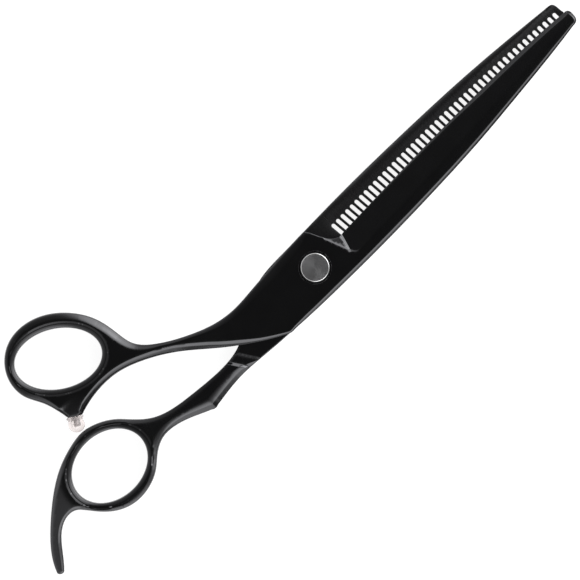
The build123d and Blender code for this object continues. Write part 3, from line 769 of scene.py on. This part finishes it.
def toothed_half():
    outlines = refined_outlines({"toothed_blade": SECTION_Z, "toothed_handle": SECTION_Z})
    away = np.array([math.sin(RAMP_LEAN), -math.cos(RAMP_LEAN)])
    lines = [np.array(TOOTHED_RAMP) + away * run for run, _ in RAMP_PROFILE]
    outlines = with_cuts(outlines, lines)
    top = Plan(outlines, TOOTHED_TOP_KEYS, [FINGER_KEYS, PIVOT_KEYS])
    bottom = Plan(outlines, TOOTHED_BOTTOM_KEYS, [FINGER_KEYS, PIVOT_KEYS])
    top_lines = band_lines(top) + [circle(RECESS_R - 0.01), circle(RECESS_R)]
    top_lines += [line_within(top, *line, step=0.25) for line in lines]
    return slab("toothed_half_steel", top, bottom, toothed_top, toothed_bottom, GRID,
                top_lines, band_lines(bottom) + bore_lines(NUT_BORE_R))


# ---- materials -------------------------------------------

def set_inputs(node, values):
    for name, value in values.items():
        node.inputs[name].default_value = value


def new_material(name, values):
    """A material with its node tree, its Principled shader and an object-space position."""
    material = bpy.data.materials.new(name)
    material.use_nodes = True
    nodes, links = material.node_tree.nodes, material.node_tree.links
    shader = nodes["Principled BSDF"]
    set_inputs(shader, values)
    place = nodes.new("ShaderNodeTexCoord")
    return material, nodes, links, shader, place.outputs["Object"]


def vary_roughness(nodes, links, shader, vector, scale, detail, low, high):
    """Roughness that follows a noise texture from low to high."""
    cloud = nodes.new("ShaderNodeTexNoise")
    set_inputs(cloud, {"Scale": scale, "Detail": detail})
    links.new(vector, cloud.inputs["Vector"])
    spread = nodes.new("ShaderNodeMapRange")
    set_inputs(spread, {"To Min": low, "To Max": high})
    links.new(cloud.outputs["Fac"], spread.inputs["Value"])
    links.new(spread.outputs["Result"], shader.inputs["Roughness"])


def vector_math(nodes, links, operation, vector, *constants):
    """Vector Math node with constants on the inputs after the first."""
    node = nodes.new("ShaderNodeVectorMath")
    node.operation = operation
    links.new(vector, node.inputs[0])
    for socket, value in zip(node.inputs[1:], constants):
        socket.default_value = value
    return node


def black_coating():
    """Gloss black coating on polished steel, with faint polishing marks."""
    material, nodes, links, shader, place = new_material(
        "black_coating", {"Base Color": (0.07, 0.07, 0.073, 1), "Metallic": 1.0})
    vary_roughness(nodes, links, shader, place, 180, 4, 0.12, 0.2)
    return material


def ground_coating():
    """The same coating on a ground face, which scatters light along the blade's width."""
    material, nodes, links, shader, place = new_material(
        "ground_coating", {"Base Color": (0.072, 0.072, 0.074, 1), "Metallic": 1.0})
    stretch = vector_math(nodes, links, "MULTIPLY", place, (60, 4000, 60))
    vary_roughness(nodes, links, shader, stretch.outputs["Vector"], 1, 2, 0.22, 0.29)
    return material


def turned_steel():
    """Bright steel turned on a lathe: fine rings round the pivot axis."""
    material, nodes, links, shader, place = new_material(
        "turned_steel", {"Base Color": (0.58, 0.58, 0.59, 1), "Metallic": 1.0,
                         "Roughness": 0.21, "Anisotropic": 0.8})
    around = nodes.new("ShaderNodeTangent")
    around.direction_type = "RADIAL"
    around.axis = "Z"
    links.new(around.outputs["Tangent"], shader.inputs["Tangent"])
    flat = vector_math(nodes, links, "MULTIPLY", place, (1, 1, 0))
    radius = vector_math(nodes, links, "LENGTH", flat.outputs["Vector"])
    rings = nodes.new("ShaderNodeTexNoise")
    rings.noise_dimensions = "1D"
    set_inputs(rings, {"Scale": 9000, "Detail": 3})
    links.new(radius.outputs["Value"], rings.inputs["W"])
    grooves = nodes.new("ShaderNodeBump")
    set_inputs(grooves, {"Strength": 0.25, "Distance": 0.04 * MM})
    links.new(rings.outputs["Fac"], grooves.inputs["Height"])
    links.new(grooves.outputs["Normal"], shader.inputs["Normal"])
    return material


def plain_finish(name, color, metallic, roughness):
    """A uniform finish whose roughness varies a little."""
    material, nodes, links, shader, place = new_material(
        name, {"Base Color": (*color, 1), "Metallic": metallic})
    vary_roughness(nodes, links, shader, place, 900, 3, roughness * 0.85, roughness * 1.15)
    return material


def clear_rubber():
    """Clear rubber with a faint tint."""
    material, nodes, links, shader, place = new_material(
        "clear_rubber", {"Base Color": (0.93, 0.86, 0.845, 1), "Transmission Weight": 0.85,
                         "IOR": 1.42})
    vary_roughness(nodes, links, shader, place, 1500, 2, 0.04, 0.08)
    return material


def finish(obj, material):
    obj.data.materials.clear()
    obj.data.materials.append(material)


def weighted(obj):
    modifier = obj.modifiers.new("weighted_normals", "WEIGHTED_NORMAL")
    modifier.mode = "FACE_AREA"
    modifier.weight = 50
    modifier.keep_sharp = True


# ---- turned pieces ---------------------------------------

def arc(centre, radius, start, end, count=8):
    """Profile points (radius, height) on an arc, angles in degrees."""
    angle = np.radians(np.linspace(start, end, count))
    return [(centre[0] + radius * math.cos(t), centre[1] + radius * math.sin(t)) for t in angle]


def turning_axes(axis):
    """An axis and two directions square to it."""
    axis = Vector(axis).normalized()
    across = axis.cross(Vector((0.0, 0.3, 1.0))).normalized()
    return axis, across, axis.cross(across)


def lathe(name, profile, origin, axis, sides=96, closed=False):
    """Solid turned from (radius, height) points round an axis; an open profile ends on the axis."""
    profile = np.array(profile)
    axis, across, other = turning_axes(axis)
    points, rings = [], []
    for radius, height in profile:
        centre = Vector(origin) + axis * float(height)
        if radius < 1e-6:
            rings.append([len(points)])
            points.append(centre)
            continue
        rings.append(list(range(len(points), len(points) + sides)))
        for k in range(sides):
            t = 2 * math.pi * k / sides
            points.append(centre + (across * math.cos(t) + other * math.sin(t)) * float(radius))
    pairs = list(zip(rings, rings[1:])) + ([(rings[-1], rings[0])] if closed else [])
    faces = []
    for low, high in pairs:
        for k in range(sides):
            corners = [low[k % len(low)], low[(k + 1) % len(low)],
                       high[(k + 1) % len(high)], high[k % len(high)]]
            face = list(dict.fromkeys(corners))
            if len(face) > 2:
                faces.append(face)
    return mesh_object(name, points, faces)


def threaded_rod(name, radius, depth, pitch, length, origin, axis, sides=48):
    """Rod with a helical thread and a short lead at both ends."""
    axis, across, other = turning_axes(axis)
    count = round(length / pitch * 10)
    points = []
    for i in range(count + 1):
        height = length * i / count
        lead = min(1.0, height / pitch, (length - height) / pitch)
        for k in range(sides):
            t = 2 * math.pi * k / sides
            wave = (height / pitch - k / sides) % 1.0
            crest = min(1.0, 1.5 * (1 - abs(2 * wave - 1))) * lead
            r = radius - depth + depth * crest
            spot = Vector(origin) + axis * height
            points.append(spot + (across * math.cos(t) + other * math.sin(t)) * r)
    faces = [[i * sides + k, i * sides + (k + 1) % sides, (i + 1) * sides + (k + 1) % sides,
              (i + 1) * sides + k] for i in range(count) for k in range(sides)]
    points += [Vector(origin), Vector(origin) + axis * length]
    start, end = len(points) - 2, len(points) - 1
    last = count * sides
    for k in range(sides):
        faces.append([start, (k + 1) % sides, k])
        faces.append([end, last + k, last + (k + 1) % sides])
    return mesh_object(name, points, faces)


def pivot_bolt():
    """Bolt with a turned, lightly dished head, a journal and a plain lead for its thread."""
    low, high = box_mm("pivot_bolt")
    head_r, top, bottom = high[0] - 0.02, high[2], low[2]
    dish, flat_x = 0.07, 1.4  # depth of the head's dish, thread's two flats
    under = FRONT_TOP - BORE_DEPTH + 0.3
    neck_r, journal_r, thread_r = 2.0, 2.2, 1.75
    profile = [(0, top - dish), (0.35, top - dish)]
    profile += [(r, top - dish * (1 - (r / (head_r - 0.22)) ** 2)) for r in (1.0, 1.7, 2.4, 2.9)]
    profile += [(head_r - 0.26, top - 0.004), (head_r - 0.21, top)]
    profile += arc((head_r - 0.21, top - 0.2), 0.2, 84, 6, 9)
    profile += [(head_r - 0.01, top - 0.25), (head_r - 0.01, under + 0.1), (head_r - 0.1, under)]
    profile += [(neck_r, under), (neck_r, FRONT_Z), (journal_r, FRONT_Z - 0.001),
                (journal_r, NUT_BORE_DEPTH + 0.05), (journal_r - 0.05, NUT_BORE_DEPTH)]
    profile += [(thread_r, NUT_BORE_DEPTH), (thread_r, bottom + 0.15),
                (thread_r - 0.15, bottom), (0, bottom)]
    bolt = lathe("pivot_bolt_turned", profile, (0, 0, 0), (0, 0, 1))
    for vertex in bolt.data.vertices:
        x, _, z = vertex.co / MM
        if z < NUT_BORE_DEPTH - 0.001:
            vertex.co.x = math.copysign(min(abs(x), flat_x), x) * MM
    return bolt


STOP_AXIS = (math.cos(math.radians(-31.4)), math.sin(math.radians(-31.4)), 0)
STUD_EMBED, CAP_GAP = 3.2, 0.02


def stud_ends():
    """Start and length of the bumper's stud along its axis, from the CAD node."""
    low, high = box_mm("bumper_stud")
    centre = Vector((low + high) / 2)
    spots = np.array([v.co[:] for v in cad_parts["bumper_stud"].data.vertices]) / MM
    along = (spots - np.array(centre)) @ np.array(STOP_AXIS)
    return centre + Vector(STOP_AXIS) * float(along.min()), float(along.max() - along.min())


def bumper():
    """Rubber cap with a flared lip and a domed end, on a threaded stud."""
    start, length = stud_ends()
    stud = threaded_rod("bumper_stud_thread", 0.84, 0.1, 0.4, length, start, STOP_AXIS)
    seat = start + Vector(STOP_AXIS) * (STUD_EMBED + CAP_GAP)
    outer, tall, hollow = 2.2, 4.05, 0.9
    deep = length - STUD_EMBED - CAP_GAP + 0.02
    profile = [(hollow, 0.0), (2.0, 0.0)]
    profile += arc((outer - 0.28, 0.28), 0.28, -80, 60, 9)
    profile += [(2.0, 0.66), (1.93, 0.95), (1.94, 1.3), (2.03, 1.6), (2.1, 1.85)]
    profile += arc((0.25, 2.1), 1.87, 0, 72, 12)[:-1]
    profile += arc((0, tall - 2.6), 2.6, 72, 90, 5)
    profile += [(0, deep), (hollow - 0.12, deep), (hollow, deep - 0.12)]
    cap = lathe("bumper_cap_shell", profile, seat, STOP_AXIS, closed=True)
    return stud, cap


# ---- pieces ----------------------------------------------

RIM_R = 3.35  # the bolt's head is polished outside this radius
GROUND_Y, GROUND_Z = -15, 2.9  # the toothed half's inner face is ground above both


def add_piece(obj, material, slot, body, *nodes):
    finish(obj, material)
    weighted(obj)
    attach(obj, body)
    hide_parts(*nodes)


coat, ground = black_coating(), ground_coating()
steel = turned_steel()
rubber = clear_rubber()
slide = plain_finish("slide_plastic", (0.012, 0.012, 0.013), 0.0, 0.35)
bronze = plain_finish("bronze", (0.62, 0.38, 0.19), 1.0, 0.3)
spring = plain_finish("spring_steel", (0.42, 0.42, 0.44), 1.0, 0.28)
polished = plain_finish("polished_steel", (0.9, 0.9, 0.9), 1.0, 0.12)
stud_steel = plain_finish("stud_steel", (0.3, 0.3, 0.31), 1.0, 0.34)

plain = plain_half()
add_piece(plain, coat, "black_blade", "plain_half", "plain_blade", "plain_handle")
toothed = toothed_half()
add_piece(toothed, coat, "black_blade", "toothed_half", "toothed_blade", "toothed_handle")
toothed.data.materials.append(ground)
for face in toothed.data.polygons:
    inner = face.center.y > GROUND_Y * MM and face.center.z > GROUND_Z * MM
    if inner and face.normal.z > 0.9:
        face.material_index = 1

bolt = pivot_bolt()
add_piece(bolt, steel, "bright_steel", "plain_half", "pivot_bolt")
bolt.data.materials.append(polished)
for face in bolt.data.polygons:
    if math.hypot(face.center.x, face.center.y) > RIM_R * MM:
        face.material_index = 1
stud, cap = bumper()
add_piece(stud, stud_steel, "bright_steel", "plain_half", "bumper_stud")
add_piece(cap, rubber, "clear_plastic", "plain_half", "bumper_cap")
for node, material in (("tension_nut", steel), ("key_washer", spring), ("spring_washer", spring),
                       ("seat_washer", slide), ("ride_washer", slide), ("pivot_bush", bronze)):
    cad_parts[node].data.materials.clear()
    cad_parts[node].data.materials.append(material)


# ---- floor, light and camera -----------------------------

def floor():
    mesh = bpy.data.meshes.new("floor")
    size = 3.0
    mesh.from_pydata([(-size, -size, 0), (size, -size, 0), (size, size, 0), (-size, size, 0)],
                     [], [(0, 1, 2, 3)])
    obj = bpy.data.objects.new("floor", mesh)
    bpy.context.collection.objects.link(obj)
    obj.location.z = -0.00005
    material, *_ = new_material(
        "white_floor", {"Base Color": (0.25, 0.25, 0.25, 1), "Roughness": 0.9,
                        "Emission Color": (1, 1, 1, 1), "Emission Strength": 0.9})
    mesh.materials.append(material)


# Light by direction: strength against the sine of the angle from straight up, dark round the
# camera, and soft boxes with the cosines at which each starts and reaches its full strength.
SKY = [(0.0, 0.073), (0.18, 0.078), (0.34, 0.15), (0.5, 0.38), (0.7, 0.85), (0.84, 1.15),
       (0.93, 0.6), (1.0, 0.15)]
SOFT_BOXES = [((0.05, 0.82, 0.56), 2.2, 0.76, 0.93), ((0.80, -0.30, 0.52), 1.5, 0.80, 0.93),
              ((0.05, 0.82, 0.56), 2.0, 0.95, 0.99)]
DARK_SHIFT = 0.06  # the dark patch lies a little towards -X


def studio():
    world = bpy.data.worlds.new("studio")
    world.use_nodes = True
    bpy.context.scene.world = world
    nodes, links = world.node_tree.nodes, world.node_tree.links
    place = nodes.new("ShaderNodeTexCoord").outputs["Generated"]
    shifted = vector_math(nodes, links, "MULTIPLY_ADD", place, (1, 1, 0), (DARK_SHIFT, 0, 0))
    off = vector_math(nodes, links, "LENGTH", shifted.outputs["Vector"])
    sky = nodes.new("ShaderNodeFloatCurve")
    curve = sky.mapping.curves[0]
    top = max(level for _, level in SKY)
    for k, (at, level) in enumerate(SKY):
        if 0 < k < len(SKY) - 1:
            curve.points.new(at, level / top)
        else:
            curve.points[-1 if k else 0].location = (at, level / top)
    sky.mapping.extend = "HORIZONTAL"
    sky.mapping.update()
    links.new(off.outputs["Value"], sky.inputs["Value"])
    scaled = nodes.new("ShaderNodeMath")
    scaled.operation = "MULTIPLY"
    scaled.inputs[1].default_value = top
    links.new(sky.outputs["Value"], scaled.inputs[0])
    total = scaled.outputs[0]
    for direction, strength, start, full in SOFT_BOXES:
        toward = vector_math(nodes, links, "DOT_PRODUCT", place, Vector(direction).normalized())
        glow = nodes.new("ShaderNodeMapRange")
        glow.interpolation_type = "SMOOTHSTEP"
        set_inputs(glow, {"From Min": start, "From Max": full, "To Max": strength})
        links.new(toward.outputs["Value"], glow.inputs["Value"])
        add = nodes.new("ShaderNodeMath")
        links.new(total, add.inputs[0])
        links.new(glow.outputs["Result"], add.inputs[1])
        total = add.outputs[0]
    nodes["Background"].inputs["Color"].default_value = (1, 1, 1, 1)
    links.new(total, nodes["Background"].inputs["Strength"])


def camera():
    data = bpy.data.cameras.new("camera")
    obj = bpy.data.objects.new("camera", data)
    bpy.context.collection.objects.link(obj)
    bpy.context.scene.camera = obj
    height, view, level = 1.8, 0.1444, (BACK_TOP + FRONT_Z) / 2 * MM
    data.sensor_width = 36
    data.lens = 36 * height / view
    obj.location = (-0.00044, -0.00836, height + level)
    obj.rotation_euler = (0, 0, math.radians(45))


floor()
studio()
camera()
bpy.context.scene.view_settings.view_transform = "Standard"
